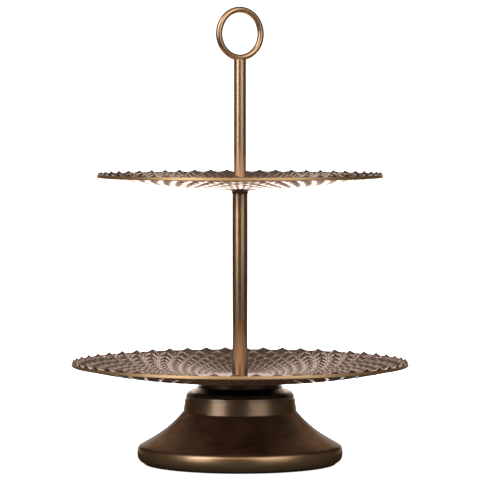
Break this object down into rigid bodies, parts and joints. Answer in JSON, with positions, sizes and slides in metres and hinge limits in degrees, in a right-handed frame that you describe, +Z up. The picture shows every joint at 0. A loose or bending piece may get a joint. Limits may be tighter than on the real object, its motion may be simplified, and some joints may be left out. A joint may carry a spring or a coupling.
{
  "type": "tiered cake stand",
  "caption": "Two-tier cake stand: flared hollow base, two shallow embossed plates on a central screwed column, and a ring handle on top.",
  "frame": {"origin": "centre of the foot's resting face on the table, on the stand's axis", "axes": "+Z up along the column; the ring handle lies in the XZ plane"},
  "size_m": [0.305, 0.305, 0.4122],
  "materials": {
    "spun_bronze": "spun steel with antique bronze plating, satin, fine grain round the axis",
    "dark_bronze": "spun steel with darkened antique bronze plating, satin",
    "pressed_bronze": "embossed steel sheet with antique bronze plating, satin, brighter on the raised ridges and the rim",
    "rod_bronze": "drawn rod and tube with antique bronze plating, semi-gloss",
    "zinc_steel": "zinc-plated steel hardware",
    "felt": "pressed wool felt, dark brown",
    "gasket_rubber": "matt black rubber",
    "fibre": "red-brown vulcanised fibre"
  },
  "bodies": {
    "base": {"base_pad_ring": "felt", "base_skirt": "spun_bronze", "base_cap": "dark_bronze", "base_reinforcing_disc": "zinc_steel", "base_bolt": "zinc_steel", "base_bolt_retainer": "zinc_steel", "lower_gasket": "gasket_rubber", "lower_plate": "pressed_bronze"},
    "column_carrier": {"column_washer": "zinc_steel"},
    "column": {"column_tube": "rod_bronze", "column_lower_insert": "zinc_steel", "column_upper_insert": "zinc_steel", "tier_seat": "rod_bronze", "upper_gasket": "fibre", "upper_plate": "pressed_bronze"},
    "handle_carrier": {"handle_washer": "zinc_steel"},
    "handle": {"handle_rod": "rod_bronze", "handle_stud": "zinc_steel", "handle_ring": "rod_bronze"}
  },
  "joints": [
    {"name": "column_rise", "type": "slide", "parent": "base", "child": "column_carrier", "axis": [0, 0, 1], "range_m": [0, 0.0125]},
    {"name": "column_turn", "type": "hinge", "parent": "column_carrier", "child": "column", "pos_m": [0, 0, 0.0785], "axis": [0, 0, 1], "range_deg": [0, 3600]},
    {"name": "handle_rise", "type": "slide", "parent": "column", "child": "handle_carrier", "axis": [0, 0, 1], "range_m": [0, 0.01]},
    {"name": "handle_turn", "type": "hinge", "parent": "handle_carrier", "child": "handle", "pos_m": [0, 0, 0.2512], "axis": [0, 0, 1], "range_deg": [0, 3600]}
  ],
  "couplings": [
    {"joint": "column_rise", "follows": "column_turn", "m_per_rad": 0.00019894},
    {"joint": "handle_rise", "follows": "handle_turn", "m_per_rad": 0.00015915}
  ]
}
